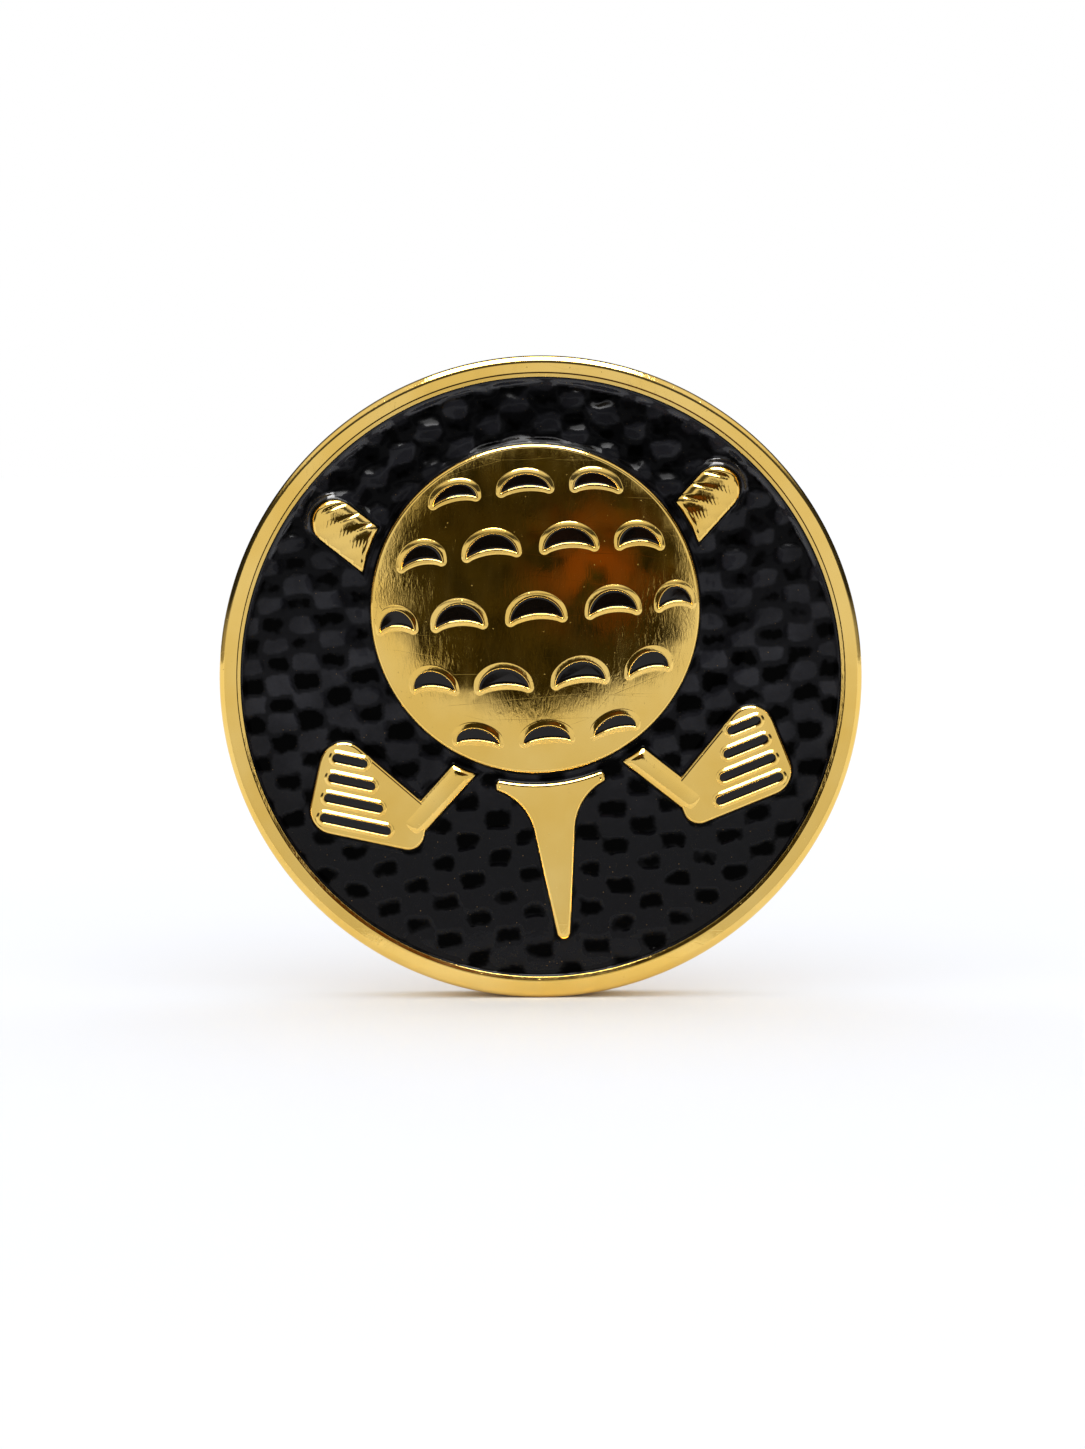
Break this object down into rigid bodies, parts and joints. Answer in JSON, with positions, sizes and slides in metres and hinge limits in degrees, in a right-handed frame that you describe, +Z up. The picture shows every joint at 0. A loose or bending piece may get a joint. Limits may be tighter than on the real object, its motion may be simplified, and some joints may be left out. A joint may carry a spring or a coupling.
{
  "type": "golf ball marker",
  "caption": "Round coin ball marker, gold-plated with a polished rim, black enamel field and a raised golf ball, tee and crossed irons emblem.",
  "frame": {"origin": "the point of the outer wall on the ground, under the middle of the coin, halfway through its thickness", "axes": "the coin stands on its edge: +Z up, face towards -Y, +Y out of the back, +X to the right seen from the front"},
  "size_m": [0.032, 0.003, 0.032],
  "materials": {
    "gold_plate": "die struck, polished and gold plated, mirror gloss",
    "field_enamel": "glossy black enamel with a moulded weave relief",
    "pool_enamel": "glossy black enamel poured level in small pools"
  },
  "bodies": {
    "root": {"dimple_enamel_01": "pool_enamel", "dimple_enamel_02": "pool_enamel", "dimple_enamel_03": "pool_enamel", "dimple_enamel_04": "pool_enamel", "dimple_enamel_05": "pool_enamel", "dimple_enamel_06": "pool_enamel", "dimple_enamel_07": "pool_enamel", "dimple_enamel_08": "pool_enamel", "dimple_enamel_09": "pool_enamel", "dimple_enamel_10": "pool_enamel", "dimple_enamel_11": "pool_enamel", "dimple_enamel_12": "pool_enamel", "dimple_enamel_13": "pool_enamel", "dimple_enamel_14": "pool_enamel", "dimple_enamel_15": "pool_enamel", "dimple_enamel_16": "pool_enamel", "dimple_enamel_17": "pool_enamel", "dimple_enamel_18": "pool_enamel", "dimple_enamel_19": "pool_enamel", "field_enamel": "field_enamel", "score_enamel_left_1": "pool_enamel", "score_enamel_left_2": "pool_enamel", "score_enamel_left_3": "pool_enamel", "score_enamel_left_4": "pool_enamel", "score_enamel_right_1": "pool_enamel", "score_enamel_right_2": "pool_enamel", "score_enamel_right_3": "pool_enamel", "score_enamel_right_4": "pool_enamel", "struck_body": "gold_plate"}
  },
  "joints": []
}
